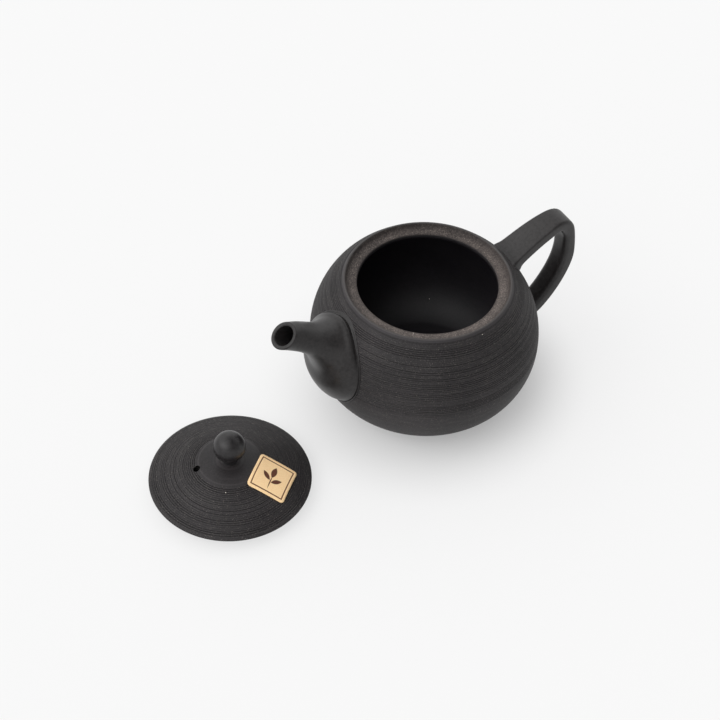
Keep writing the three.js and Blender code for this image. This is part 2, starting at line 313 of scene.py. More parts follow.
def combed(curve, start, stop, depth, seed, lead=(), smooth_step=1.6):
    """Points along a curve that turns left round the clay, with lines between two distances.

    The lead says how the smooth clay goes over into the lines, as (distance before, depth).
    """
    draw = random.Random(seed)
    point, length = along_curve(curve)
    smooth_end = start - lead[0][0] - smooth_step / 4 if lead else start
    points = [point(where) for where in np.arange(0, smooth_end, smooth_step)]
    points += [point(start - before, inward) for before, inward in lead]
    where = start
    while where < stop:
        gap = COMB_PITCH * draw.uniform(*PITCH_SPREAD)
        bottom = depth(where) * draw.choice(DEPTH_SHARES)
        middle, half = where + gap / 2, gap * HALF_LINE
        points += [point(where), point(middle - half), point(middle, bottom), point(middle + half)]
        where += gap
    points += [point(rest) for rest in np.arange(where, length, smooth_step)]
    return points + [point(length)]


print("a comb line is about", COMB_PITCH, "mm wide and", COMB_DEPTH, "mm deep")


# %% [markdown]
# ## The pot
#
# The profile starts on the axis under the foot. It runs out along the foot, up the combed
# wall and over the narrow crest, down its hollow flank to the ledge that carries the lid,
# then over the edge of the mouth and down the smooth inside to the middle of the floor.
# The parts that aren't combed come first. A fine line runs round under the crest.

# %% The edges of the pot's mouth
LINE_DEPTH = 0.17
# Distance before the end of the wall, and depth
CREST_LINE = [(1.35, 0), (1.1, LINE_DEPTH), (0.75, LINE_DEPTH), (0.5, 0), (0.2, 0)]
# Distance in from the crest's outer edge, and down from its top
CREST_DROPS = [
    (0.02, 0.65),
    (0.2, 0.3),
    (0.5, 0.06),
    (0.85, 0),
    (1.15, 0.14),
    (1.4, 0.5),
    (1.6, 1.0),
    (1.9, 1.55),
    (2.3, 1.95),
    (2.7, POT_HEIGHT - LEDGE_HEIGHT),
]


def crest_edge(curve):
    """The fine line under the crest, then the crest's narrow top and its hollow inner flank."""
    point, length = along_curve(curve)
    line = [point(length - before, depth) for before, depth in CREST_LINE]
    return line + [(CREST_RADIUS - inward, POT_HEIGHT - down) for inward, down in CREST_DROPS]


def mouth_edge(soft=0.5):
    return [
        (MOUTH_RADIUS + soft, LEDGE_HEIGHT),
        (MOUTH_RADIUS + soft * 0.3, LEDGE_HEIGHT - soft * 0.25),
        (MOUTH_RADIUS, LEDGE_HEIGHT - soft),
        (MOUTH_RADIUS, LEDGE_UNDER + soft),
        (MOUTH_RADIUS + soft, LEDGE_UNDER),
    ]


def inner_curve():
    belly = (BELLY_RADIUS - WALL, BELLY_HEIGHT)
    top = (body_radius(LEDGE_UNDER) - WALL, LEDGE_UNDER)
    foot = (FOOT_RADIUS - WALL / 2, FLOOR)
    upper = belly_arc(belly, top, SHOULDER_SWEEP, 14)[::-1]
    lower = belly_arc(belly, foot, FOOT_SWEEP, 16)
    return upper + lower[1:]


print("the crest is", CREST_WIDTH, "mm wide and", round(POT_HEIGHT - LEDGE_HEIGHT, 1), "mm high")


# %% [markdown]
# ## The wall, combed and thrown
#
# On the real pot the comb stops close under the fine line. Low on the belly it starts at a
# shallow step, below which the clay was trimmed smooth. The step is the lead into the
# lines, and `TRIM_RING` is its distance along the wall from the foot.

# %% The profile of the pot, thrown
TRIM_RING = 41.0
TRIM_STEP = 0.14
TRIM_LEAD = [(2.6, 0), (1.4, 0.6 * TRIM_STEP), (0.5, TRIM_STEP)]

wall_curve = [(FOOT_RADIUS - 0.6, 0.0)] + OUTER.tolist()
comb_top = along_curve(wall_curve)[1] - 2.0
combed_wall = combed(wall_curve, TRIM_RING, comb_top, lambda where: COMB_DEPTH, 11, TRIM_LEAD)
# The crest's fine line takes the place of the last points
below_crest_line = [point for point in combed_wall if point[1] < CREST_FOOT - 0.9]
pot_profile = (
    [(0, 0), (FOOT_RADIUS * 0.6, 0)]
    + below_crest_line
    + crest_edge(wall_curve)
    + mouth_edge()
    + inner_curve()
    + [(FOOT_RADIUS * 0.5, FLOOR), (0, FLOOR)]
)
pot = thrown("combed_pot", pot_profile, turns=120, crease=65)


# %% [markdown]
# ## Where the lines are
#
# The lines are painted darker than the clay between them, as dust and the shade that falls in
# them, and their colour has to follow them exactly. So each corner of the mesh remembers how far
# it lies under the smooth curve, as an attribute that the material reads later. Corners of the
# inner side, which lie more than a millimetre under the curve, are given 2, so that the inside
# can be painted darker as shade.

# %% The depth of the lines, kept on the mesh
def note_depth(piece, curve, axis=(0, 0)):
    """0 on the smooth curve, 1 at the bottom of a line and 2 inside the piece."""
    line = np.array(sorted(curve, key=lambda point: point[1]))
    slopes = np.gradient(line[:, 0], line[:, 1])
    inner_low, inner_high = 0.5, line[-1, 1] - 2.0
    depths = piece.data.attributes.new("comb_depth", "FLOAT", "POINT")
    for vertex in piece.data.vertices:
        place = vertex.co / MM
        radius = math.hypot(place.x - axis[0], place.y - axis[1])
        smooth = np.interp(place.z, line[:, 1], line[:, 0])
        slope = np.interp(place.z, line[:, 1], slopes)
        under = (smooth - radius) / math.hypot(1, slope)
        inner = under > 1.0 and inner_low < place.z < inner_high
        depths.data[vertex.index].value = 2.0 if inner else min(max(under / COMB_DEPTH, 0), 1)


note_depth(pot, OUTER)
print("the depth of the lines is kept on", len(pot.data.vertices), "corners")


# %% [markdown]
# ## The opening behind the spout
#
# Tea leaves the pot through a round opening, which the strainer fills. The opening is cut
# with a cylinder that lies along the strainer's axis. The axis is tilted by ten degrees,
# because the wall leans in above the belly.

# %% The opening, cut through the wall
SPOUT_HEIGHT = 39.5
STRAINER_TILT = 10
OPENING_RADIUS = 15.5

wall_middle = body_radius(SPOUT_HEIGHT) - WALL / 2
opening = round_cutter(
    radius=OPENING_RADIUS,
    length=20,
    middle=(-wall_middle, 0, SPOUT_HEIGHT),
    turn=(0, math.radians(90 + STRAINER_TILT), 0),
)
cut(pot, opening)


# %% [markdown]
# ## The pierced dome
#
# The solid of the strainer is right as it is: a dome with 61 holes on a band of clay. Its
# mesh is loose triangles, which shade as flat facets. A copy is made, the doubles are
# merged, and the copy is shaded smooth and stands for the solid.

# %% The strainer, copied and smoothed
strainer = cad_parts["strainer"].copy()
strainer.data = strainer.data.copy()
bpy.context.collection.objects.link(strainer)
take(strainer)
bpy.ops.object.mode_set(mode="EDIT")
bpy.ops.mesh.select_all(action="SELECT")
bpy.ops.mesh.remove_doubles(threshold=SAME_SPOT)
strainer = finish_piece("pierced_strainer", crease=32)


# %% [markdown]
# ## Smooth rows
#
# The spout and the handle are given by a few key places. A Catmull-Rom curve passes
# through every key, and its centripetal form doesn't overshoot where keys lie close
# together. `smooth_row` returns points on that curve. For a point between two keys, the
# four keys around it are mixed in pairs, and the results again, until one is left.

# %% A curve through key points
KNOT_PAIRS = [[(0, 1), (1, 2), (2, 3)], [(0, 2), (1, 3)], [(1, 2)]]


def between_keys(keys, share):
    knots = [0.0]
    for near, far in zip(keys, keys[1:]):
        knots.append(knots[-1] + max(np.linalg.norm(far - near), 1e-6) ** 0.5)
    at = knots[1] + share * (knots[2] - knots[1])
    level = list(keys)
    for pairs in KNOT_PAIRS:
        merged = []
        for i, (first, last) in enumerate(pairs):
            low, high = knots[first], knots[last]
            merged.append(((high - at) * level[i] + (at - low) * level[i + 1]) / (high - low))
        level = merged
    return level[0]


def smooth_row(keys, steps):
    keys = [np.asarray(key, float) for key in keys]
    keys = [2 * keys[0] - keys[1], *keys, 2 * keys[-1] - keys[-2]]
    spans = len(keys) - 3
    points = []
    for step in range(steps + 1):
        place = min(step * spans / steps, spans - 1e-9)
        span = int(place)
        points.append(between_keys(keys[span:span + 4], place - span))
    return points


print("half way to the middle of three keys:", smooth_row([(0, 0), (4, 0), (4, 4)], 4)[1].round(2))


# %% [markdown]
# ## The spout
#
# The spout is thrown as a bell, and while it is soft it is bent up and pressed over the
# opening. Near the pot its rings hug the round wall. Further out they stand free in their
# own planes, and the last ones tilt towards the lip. Each key ring mixes the two, and
# smooth rows join the keys.

# %% Rings of the spout
BELL_RADIUS = 21.4
LIP_RADIUS, LIP_TILT = 6.5, 53
SPOUT_REACH, SPOUT_TIP_RISE = 21.4, 1.2
AROUND = 72


def spout_centre(along):
    """A cubic curve. Its middle points pull it steeply up along the wall, then out to the tip."""
    start = np.array([body_radius(SPOUT_HEIGHT), SPOUT_HEIGHT])
    tip = np.array([BELLY_RADIUS + SPOUT_REACH, POT_HEIGHT + SPOUT_TIP_RISE])
    climb = tip[1] - start[1]
    low = np.array([start[0] + 1, start[1] + 0.42 * climb])
    high = np.array([tip[0] - 13.4, start[1] + 0.76 * climb])
    rest = 1 - along
    return rest**3 * start + 3 * rest**2 * along * low + 3 * rest * along**2 * high + along**3 * tip


def spout_ring(centre, tilt, high, wide, hug, off, low_sides=0.0):
    """A ring between one on the wall, which hug 1 gives, and a free one, which hug 0 gives."""
    lean = math.radians(tilt)
    ring = []
    for i in range(AROUND):
        angle = math.tau * i / AROUND
        up, side = high * math.cos(angle), wide * math.sin(angle)
        height = centre[1] + up
        turn = side / body_radius(centre[1])
        reach = body_radius(height) + off * (1 - low_sides * math.sin(angle) ** 2)
        near = np.array([-reach * math.cos(turn), reach * math.sin(turn), height])
        free = np.array([-centre[0] + up * math.sin(lean), side, centre[1] + up * math.cos(lean)])
        ring.append(free + (near - free) * hug)
    return ring


def bell_keys(thin):
    """The key rings from the bell to the lip, drawn in by the thickness of the wall for the bore."""
    bell, lip = BELL_RADIUS, LIP_RADIUS
    swell = bell - lip
    # Place on the centre curve, tilt, half height and width, hug, distance off the wall, low sides
    keys = [
        (0.07, 0, bell * 0.91, bell * 0.87, 1, 3.6, 0.4),
        (0.19, 22, bell * 0.73, bell * 0.68, 0.63, 6.5, 0.1),
        (0.36, 20, lip + swell * 0.32, lip + swell * 0.3, 0.25, 8, 0),
        (0.58, 26, lip + swell * 0.07, lip + swell * 0.12, 0, 0, 0),
        (0.74, 31, lip, lip + swell * 0.06, 0, 0, 0),
        (0.88, 38, lip, lip, 0, 0, 0),
        (1, LIP_TILT, lip, lip, 0, 0, 0),
    ]
    return [
        spout_ring(spout_centre(along), tilt, high - thin, wide - thin, hug, off - thin, sides)
        for along, tilt, high, wide, hug, off, sides in keys
    ]


print("the tip of the spout is at", spout_centre(1).round(1), "mm")


# %% [markdown]
# ## The bead and the lip
#
# The edge on the pot isn't a plain step. The potter runs a tool along it, which leaves a
# narrow groove and a raised bead outside it. The bead catches the light along the lower
# part of the bell and fades out towards its top. The lip is rounded over to the bore.
#
# The foot of the spout starts a little under the skin of the pot. Inside, the bore follows
# the outside at the thickness of the wall, so the spout is hollow from strainer to lip.

# %% The spout, pulled from its bead to its lip and back down the bore
SPOUT_WALL, SPOUT_SINK = 1.9, 0.6
# Radians from the top of the bell, within which the bead fades out
BEAD_FADE = 0.75
EDGE_SLOPE = 0.5
BORE_INSET = SPOUT_WALL + 0.6
# Distance in from the edge of the bell, and height above its smooth surface
BEAD = [(0, 0.1), (0.08, 0.3), (0.26, 0.4), (0.42, 0.28), (0.56, -0.05), (0.72, -0.25), (0.9, -0.1)]
BELL_START = (1.05, 0.15)
# Change of the lip's radius, and distance forward from its plane
LIP_ROUNDING = [(-0.1, 0.28), (-0.35, 0.46), (-0.7, 0.52), (-1.2, 0.5), (-1.6, 0.36), (-1.85, 0.1)]


def sunk_ring(radius):
    return spout_ring(spout_centre(0), 0, radius, radius, 1, -SPOUT_SINK)


def edge_ring(inset, raised):
    radius = BELL_RADIUS - inset
    smooth = spout_ring(spout_centre(0), 0, radius, radius, 1, EDGE_SLOPE * inset)
    ring = []
    for i, point in enumerate(smooth):
        from_top = math.tau * min(i, AROUND - i) / AROUND
        share = 1 - math.exp(-((from_top / BEAD_FADE) ** 2))
        away = np.array([point[0], point[1], 0]) / math.hypot(point[0], point[1])
        ring.append(point + away * raised * share)
    return ring


def lip_ring(grow, forward):
    lean = math.radians(LIP_TILT)
    centre = spout_centre(1) + forward * np.array([math.cos(lean), math.sin(lean)])
    radius = LIP_RADIUS + grow
    return spout_ring(centre, LIP_TILT, radius, radius, 0, 0)


def skin(keys, steps):
    rows = [smooth_row(row, steps) for row in zip(*keys)]
    return [list(ring) for ring in zip(*rows)]


bead = [sunk_ring(BELL_RADIUS)] + [edge_ring(*place) for place in BEAD]
outside = skin([edge_ring(*BELL_START), *bell_keys(0)], 44)
rounding = [lip_ring(*place) for place in LIP_ROUNDING]
bore_foot = sunk_ring(BELL_RADIUS - BORE_INSET)
inside = skin([bore_foot, *bell_keys(SPOUT_WALL)], 24)[::-1]
spout = pulled("spout_shell", bead + outside + rounding + inside, joined_ends=True, crease=50)


# %% [markdown]
# ## The path of the ear handle
#
# The handle leaves the shoulder, bends down behind the pot and comes back low on the
# belly. Its path lies in the plane through spout and handle. Its keys are measured from
# the wall at both roots and from the handle's back and top, and the points are then spread
# evenly along the path.

# %% The handle's path
HANDLE_REACH, HANDLE_RISE = 23.6, 4.5
ROOT_TOP, ROOT_LOW = 57.5, 16.0


def handle_path(steps):
    back = BELLY_RADIUS + HANDLE_REACH
    top = POT_HEIGHT + HANDLE_RISE
    high, low = body_radius(ROOT_TOP), body_radius(ROOT_LOW)
    keys = [
        (high - 6, ROOT_TOP - 3.4),
        (high + 1.5, ROOT_TOP + 1.6),
        (high + 0.49 * (back - high), top - 2.6),
        (back - 5.9, top + 0.2),
        (back - 2.3, top - 2.7),
        (back, top - 12.6),
        (back, top - 23.6),
        (back - 5.2, ROOT_LOW + 0.31 * (top - ROOT_LOW)),
        (back - 14.4, ROOT_LOW + 0.1 * (top - ROOT_LOW)),
        (low + 1.5, ROOT_LOW + 0.5),
        (low - 5, ROOT_LOW - 1),
    ]
    fine = np.array(smooth_row(keys, 800))
    distance = np.concatenate([[0], np.cumsum(np.hypot(*np.diff(fine, axis=0).T))])
    where = np.linspace(0, distance[-1], steps + 1)
    return np.stack([np.interp(where, distance, fine[:, axis]) for axis in (0, 1)], 1)


print("the back of the handle is at", handle_path(90)[:, 0].max().round(1), "mm")


# %% [markdown]
# ## The strap
#
# The handle is a strap with nearly flat faces and softly rounded edges, wide where it
# leaves the shoulder and narrow over the bend. Below the bend it is thicker on its inner
# side, and clay fills the inner side of the bend itself. At both roots the clay is smeared
# out on to the pot, so the strap grows wider and thicker there.

# %% The cut through the strap
STRAP_THICKNESS = 5.4
# Places along the handle, from 0 at its upper root to 1 at its lower root, and sizes there
WIDTHS = ([0, 0.22, 0.36, 0.5, 0.8, 1], [16, 13.1, 11.3, 10.2, 10.2, 11.8])
OUTER_CORNERS = ([0.25, 0.33, 0.42, 0.55], [0.9, 1.7, 1.7, 1.0])
INNER_CORNERS = ([0.25, 0.36, 0.5, 0.85, 1], [1.2, 2.2, 2.7, 2.7, 1.6])
INNER_SWELL = ([0.3, 0.4, 0.55, 0.78, 1], [0, 0.405, 1.35, 1.35, 0.405])
BEND_FILL, BEND_PLACE, BEND_LENGTH = 1.3, 0.36, 0.045
SMEAR, SMEAR_REACH, SMEAR_WIDTH = 1.3, 1.6, 1.4


def strap_section(width, thickness, outer, inner, steps=7):
    """A rounded rectangle as (across, out) pairs. Its outer corners can be rounder."""
    points = []
    for turn, (x, y) in enumerate([(1, 1), (-1, 1), (-1, -1), (1, -1)]):
        corner = outer if y > 0 else inner
        middle = (x * (width / 2 - corner), y * (thickness / 2 - corner))
        for step in range(steps):
            angle = math.radians(90 * turn + 90 * step / (steps - 1))
            across = middle[0] + corner * math.cos(angle)
            out = middle[1] + corner * math.sin(angle)
            points.append((across, out))
    return points


def strap_cut(along, clear):
    """The cut through the strap at a place along it, this far clear of the wall."""
    smear = SMEAR * math.exp(-max(clear, 0) / SMEAR_REACH)
    fill = BEND_FILL * math.exp(-(((along - BEND_PLACE) / BEND_LENGTH) ** 2))
    thicker = fill + np.interp(along, *INNER_SWELL)
    width = np.interp(along, *WIDTHS) + SMEAR_WIDTH * smear
    outer = np.interp(along, *OUTER_CORNERS) + 0.5 * smear
    inner = np.interp(along, *INNER_CORNERS)
    section = strap_section(width, STRAP_THICKNESS + smear, outer, inner)
    return [(across, out if out > 0 else out - thicker) for across, out in section]


print("the strap narrows from", WIDTHS[1][0], "mm to", min(WIDTHS[1]), "mm")


# %% [markdown]
# ## The ends of the handle
#
# The strap runs on into the wall at both ends. Its rings end there, and each of their
# points is held close under the surface, so that none of the handle shows inside the pot.

# %% The handle, pulled along its path
TOP_SINK, LOW_SINK = 2.5, 4.5
WALL_COVER = 1.5


def buried(x, y, z):
    """A point of the strap, moved out where it lies too deep under the surface of the wall."""
    least = body_radius(z) - WALL_COVER
    grow = max(1.0, least / math.hypot(x, y))
    return (x * grow, y * grow, z)


def handle_rings(lengths=90):
    path = handle_path(lengths)
    ahead = np.gradient(path, axis=0)
    ahead /= np.linalg.norm(ahead, axis=1)[:, None]
    rings = []
    for i, (centre, way) in enumerate(zip(path, ahead)):
        along = i / lengths
        clear = centre[0] - body_radius(centre[1])
        if clear > -(TOP_SINK if along < 0.5 else LOW_SINK):
            rings.append([
                buried(centre[0] - way[1] * out, -across, centre[1] + way[0] * out)
                for across, out in strap_cut(along, clear)
            ])
    return rings


handle = pulled("strap_handle", handle_rings(), joined_ends=False, crease=40)


# %% [markdown]
# ## The lid
#
# The lid lies on the table beside the pot, on its locating skirt. Its top is a flat cone,
# domed a little, with a rounded rim and a smooth disc in the middle. The slope and the
# hollow underneath are each one bend, a curve that is pulled towards its middle point.

# %% Sizes and curves of the lid
LID_PLACE = (-108.7, -13.0)
LID_RADIUS = LEDGE_RADIUS - 0.4
SKIRT_RADIUS = MOUTH_RADIUS - 0.5
SKIRT_DEPTH, SKIRT_WALL = 4.0, 2.6
LID_EDGE = SKIRT_DEPTH + 2.0
LID_WALL = 2.7
DISC_RADIUS, DISC_STEP = 14.5, 0.45
DISC_HEIGHT = LID_EDGE + 10.0
CROWN_RISE = 0.9
CROWN_HEIGHT = DISC_HEIGHT + CROWN_RISE
NECK_RADIUS = 3.4


def bend(first, middle, last, steps):
    points = []
    for share in np.linspace(0, 1, steps + 1):
        rest = 1 - share
        points.append(tuple(
            rest * rest * a + 2 * rest * share * b + share * share * c
            for a, b, c in zip(first, middle, last)
        ))
    return points


def lid_slope(steps=60):
    pull = (
        LID_RADIUS + 0.45 * (DISC_RADIUS - LID_RADIUS),
        LID_EDGE + 0.52 * (DISC_HEIGHT - LID_EDGE),
    )
    return bend((LID_RADIUS - 0.6, LID_EDGE), pull, (DISC_RADIUS + 0.5, DISC_HEIGHT - DISC_STEP), steps)


slope_length = along_curve(lid_slope())[1]
print("the slope of the lid is", round(slope_length, 1), "mm long")


# %% [markdown]
# ## The skirt and the disc
#
# A skirt under the lid keeps it in the mouth of the pot. Its foot is rounded, and it joins
# the flat underside of the rim. On top the disc rises gently to the seat of the knob.

# %% The underside and the disc of the lid
def lid_underside():
    """From the axis down the hollow, round the foot of the skirt and up the rim."""
    inner = SKIRT_RADIUS - SKIRT_WALL
    ceiling = CROWN_HEIGHT - LID_WALL
    pull = (inner * 0.7, ceiling - 1.2)
    hollow = bend((inner, SKIRT_DEPTH), pull, (DISC_RADIUS * 0.6, ceiling), 16)
    return [(0, ceiling)] + hollow[::-1] + [
        (inner + 0.1, 0.5),
        (inner + 0.4, 0.1),
        (inner + 0.8, 0),
        (SKIRT_RADIUS - 0.8, 0),
        (SKIRT_RADIUS - 0.25, 0.15),
        (SKIRT_RADIUS, 0.5),
        (SKIRT_RADIUS, SKIRT_DEPTH - 0.2),
        (SKIRT_RADIUS + 0.2, SKIRT_DEPTH),
        (LID_RADIUS - 1.2, SKIRT_DEPTH + 0.2),
        (LID_RADIUS - 0.3, SKIRT_DEPTH + 0.55),
        (LID_RADIUS, SKIRT_DEPTH + 0.95),
        (LID_RADIUS, LID_EDGE - 0.7),
        (LID_RADIUS - 0.15, LID_EDGE - 0.25),
    ]


def lid_crown():
    """The disc, from its edge in to the axis under the knob."""
    seat = NECK_RADIUS + 0.9
    crown = [
        (seat + (DISC_RADIUS - 0.25 - seat) * share, CROWN_HEIGHT - CROWN_RISE * share**2)
        for share in np.linspace(1, 0, 8)
    ]
    return crown + [(seat * 0.5, CROWN_HEIGHT + 0.05), (0, CROWN_HEIGHT + 0.05)]


print("the lid is", round(CROWN_HEIGHT, 1), "mm high without its knob")


# %% [markdown]
# ## The lid's comb lines and its vent
#
# The slope is combed like the wall. The comb was set down next to the disc, where its
# lines are deepest. A round hole beside the disc, the vent, lets air in while tea is
# poured. It is cut straight down with a cylinder.

# %% The lid, thrown and pierced
VENT_DISTANCE, VENT_ANGLE, VENT_RADIUS = 15.0, math.radians(166), 1.5


def lid_comb_depth(where):
    return 0.21 + 0.3 * math.exp(-(slope_length - where) / 2.5)


combed_slope = combed(lid_slope(), 0.6, slope_length - 0.9, lid_comb_depth, 5, smooth_step=0.6)
lid_profile = lid_underside() + combed_slope + lid_crown()
lid = thrown("combed_lid", lid_profile, 120, LID_PLACE, crease=65)
note_depth(lid, lid_slope(), LID_PLACE)
vent_place = (
    LID_PLACE[0] + VENT_DISTANCE * math.cos(VENT_ANGLE),
    LID_PLACE[1] + VENT_DISTANCE * math.sin(VENT_ANGLE),
    DISC_HEIGHT,
)
cut(lid, round_cutter(VENT_RADIUS, 20, vent_place))


# %% [markdown]
# ## The knob
#
# A ball on a short neck. The neck spreads a little where it is luted to the disc, and the
# ball hides most of it from above.

# %% The knob, thrown
KNOB_RADIUS, KNOB_HEIGHT = 7.15, 25.6


def knob_profile():
    seat = CROWN_HEIGHT
    flare = [
        (0, seat),
        (NECK_RADIUS + 0.4, seat),
        (NECK_RADIUS + 0.1, seat + 0.1),
        (NECK_RADIUS, seat + 0.4),
    ]
    start = math.asin(NECK_RADIUS / KNOB_RADIUS) + 0.05
    ball = [
        (KNOB_RADIUS * math.sin(angle), KNOB_HEIGHT - KNOB_RADIUS * math.cos(angle))
        for angle in np.linspace(start, math.pi, 22)[:-1]
    ]
    return flare + ball + [(0, KNOB_HEIGHT + KNOB_RADIUS)]


knob = thrown("ball_knob", knob_profile(), 64, LID_PLACE, crease=50)


# %% [markdown]
# ## The paper label
#
# A small square of paper with rounded corners is glued to the lid. It starts as a plane.
# Its corners are bevelled, and bisect cuts a fine lattice into it so that it can bend. Its
# UV map is made while it is still flat, because the print follows the paper.

# %% The label, cut from a plane
LABEL_SIDE, LABEL_CORNER = 18.5, 1.6
LATTICE = 22

start_piece()
bpy.ops.mesh.primitive_plane_add(size=LABEL_SIDE * MM, enter_editmode=True)
bpy.ops.mesh.bevel(offset=LABEL_CORNER * MM, segments=6, affect="VERTICES")
for line in range(1, LATTICE):
    for normal in ((1, 0, 0), (0, 1, 0)):
        offset = (line / LATTICE - 0.5) * LABEL_SIDE * MM
        bpy.ops.mesh.select_all(action="SELECT")
        bpy.ops.mesh.bisect(plane_co=Vector(normal) * offset, plane_no=normal)
label = finish_piece("paper_label", crease=50)
print_map = label.data.uv_layers.active or label.data.uv_layers.new(name="print")
for loop in label.data.loops:
    flat = label.data.vertices[loop.vertex_index].co / (LABEL_SIDE * MM)
    print_map.data[loop.index].uv = (flat.x + 0.5, flat.y + 0.5)
print("the label measures", rounded(label.dimensions))


# %% [markdown]
# ## Laying the paper on the lid
#
# Each corner of the lattice is turned to its place and dropped on to the lid. The paper
# can't follow the step at the edge of the disc, so it runs straight from the disc to the
# slope. Solidify then gives the sheet its thickness.

# %% The label, laid on the slope
LABEL_THICKNESS = 0.3
# The middle's distance from the axis of the knob, and the gap under the paper
LABEL_MIDDLE, LABEL_CLEAR = 20.0, 0.12
# Degrees on itself, and round the knob
LABEL_TURN, LABEL_ROUND = 1.5, -51.5


def paper_height(radius):
    slope = lid_slope()[::-1]
    disc = [
        (6.6, CROWN_HEIGHT),
        (DISC_RADIUS - 2.5, DISC_HEIGHT + 0.42),
        (DISC_RADIUS - 0.2, DISC_HEIGHT + 0.04),
    ]
    # The first points of the slope are left out, because they lie in the step
    across, up = np.array(disc + slope[6:]).T
    return float(np.interp(radius, across, up)) + LABEL_CLEAR


def lay_label(piece):
    lean = math.atan2(DISC_HEIGHT - LID_EDGE, LID_RADIUS - DISC_RADIUS)
    on_itself = Matrix.Rotation(math.radians(LABEL_TURN), 3, "Z")
    round_the_knob = Matrix.Rotation(math.radians(LABEL_ROUND), 3, "Z")
    for vertex in piece.data.vertices:
        flat = on_itself @ (vertex.co / MM)
        sloped = Vector((LABEL_MIDDLE + flat.x * math.cos(lean), flat.y, 0))
        placed = round_the_knob @ sloped
        height = paper_height(math.hypot(placed.x, placed.y))
        vertex.co = Vector((LID_PLACE[0] + placed.x, LID_PLACE[1] + placed.y, height)) * MM


lay_label(label)
take(label)
bpy.ops.object.modifier_add(type="SOLIDIFY")
label.modifiers[-1].thickness = LABEL_THICKNESS * MM
label.modifiers[-1].offset = 1
bpy.ops.object.modifier_apply(modifier=label.modifiers[-1].name)
print("the laid label has", len(label.data.polygons), "faces")


# %% [markdown]
# ## Shader maths as Python
#
# A material is a graph of nodes. Written out node by node it is long and hard to read, so
# one small class stands for a socket. Arithmetic on it adds Math nodes to the graph, and
# `node` adds any other kind of node: it takes the graph, the kind, the settings, the inputs
# and which output to read. `other` reads a further output of the same node.

# %% A socket with arithmetic
def arithmetic(operation):
    def apply(self, other):
        return self.maths(operation, self, other)

    return apply


class Wire:
    __add__ = __radd__ = arithmetic("ADD")
    __mul__ = __rmul__ = arithmetic("MULTIPLY")
    __sub__ = arithmetic("SUBTRACT")
    __truediv__ = arithmetic("DIVIDE")
    __gt__ = arithmetic("GREATER_THAN")
    larger = arithmetic("MAXIMUM")

    def __init__(self, socket):
        self.socket = socket
        self.tree = socket.id_data

    def __rsub__(self, other):
        return self.maths("SUBTRACT", other, self)

    def __abs__(self):
        return self.maths("ABSOLUTE", self)

    def root(self):
        return self.maths("SQRT", self)

    def maths(self, operation, *values):
        return Wire.node(self.tree, "Math", {"operation": operation}, dict(enumerate(values)))

    def other(self, output):
        return Wire(self.socket.node.outputs[output])

    @staticmethod
    def node(tree, kind, settings, inputs, output=0):
        made = tree.nodes.new("ShaderNode" + kind)
        for name, value in settings.items():
            setattr(made, name, value)
        for name, value in inputs.items():
            if isinstance(value, Wire):
                tree.links.new(value.socket, made.inputs[name])
            else:
                made.inputs[name].default_value = value
        return Wire(made.outputs[output])


# %% [markdown]
# ## Small nodes that return often
#
# `band` is a soft step from 0 to 1 between two values, `noise` is smooth noise at a size
# given in millimetres, and `colour` reads a colour as it is written for the screen and
# returns the linear value that a shader works with. `blend` mixes two colours: a Mix node
# has its factor at input 0, its two colours at inputs 6 and 7 and the mixed one at output 2.

# %% Helpers for the materials
def colour(code):
    parts = [int(code[i:i + 2], 16) / 255 for i in (0, 2, 4)]
    linear = [c / 12.92 if c <= 0.04045 else ((c + 0.055) / 1.055) ** 2.4 for c in parts]
    return (*linear, 1)


def blend(share, first, second):
    return Wire.node(share.tree, "Mix", {"data_type": "RGBA"}, {0: share, 6: first, 7: second}, 2)


def band(value, low, high):
    inputs = {"Value": value, "From Min": low, "From Max": high}
    return Wire.node(value.tree, "MapRange", {"interpolation_type": "SMOOTHSTEP"}, inputs)


def noise(vector, size, detail=2.0, roughness=0.5):
    inputs = {"Vector": vector, "Scale": 1 / (size * MM), "Detail": detail, "Roughness": roughness}
    return Wire.node(vector.tree, "TexNoise", {}, inputs)


def bump(height, strength, distance):
    inputs = {"Height": height, "Strength": strength, "Distance": distance * MM}
    return Wire.node(height.tree, "Bump", {}, inputs)


def axes(vector):
    first = Wire.node(vector.tree, "SeparateXYZ", {}, {"Vector": vector})
    return first, first.other(1), first.other(2)


def from_axis(vector, centre=(0, 0)):
    """Distance from a vertical axis and height, both in millimetres."""
    x, y, z = axes(vector)
    x, y = x - centre[0] * MM, y - centre[1] * MM
    return (x * x + y * y).root() * (1 / MM), z * (1 / MM)


def new_finish(name):
    """A material, its place on the object and its shader."""
    finish = bpy.data.materials.new(name)
    finish.use_nodes = True
    place = Wire.node(finish.node_tree, "TexCoord", {}, {}, "Object")
    return finish, place, finish.node_tree.nodes["Principled BSDF"]


def feed(shader, socket, wire):
    wire.tree.links.new(wire.socket, shader.inputs[socket])


print("middle grey is", round(colour("808080")[0], 3), "to a shader")


# %% [markdown]
# ## The clay
#
# The clay is fired black-grey without a glaze. Up close it isn't one colour: it is
# clouded over a few centimetres, mottled over about a millimetre, and has a rare white
# grain. Its surface is dry but dense, so it has a broad, soft gloss that is a little
# stronger where it was burnished. `clay` makes one material for each finish. With a comb
# it makes the two combed ones, whose grooves are torn in places and painted dark as dust and
# shade, with painted highlights on the ridges between them and painted shade inside.

# %% The clay, smooth or combed
# Sizes of the patterns, in millimetres
CLOUDS, MOTTLE, COMBED_MOTTLE, RELIEF, SPECKS = 26, 1.3, 0.7, 0.22, 0.42
# The gap from grain to grain, a grain's edge as a share of the gap, and how rare it is
GRAIN_GAP, GRAIN_EDGE, GRAIN_PICK = 3.2, (0.05, 0.085), 0.985


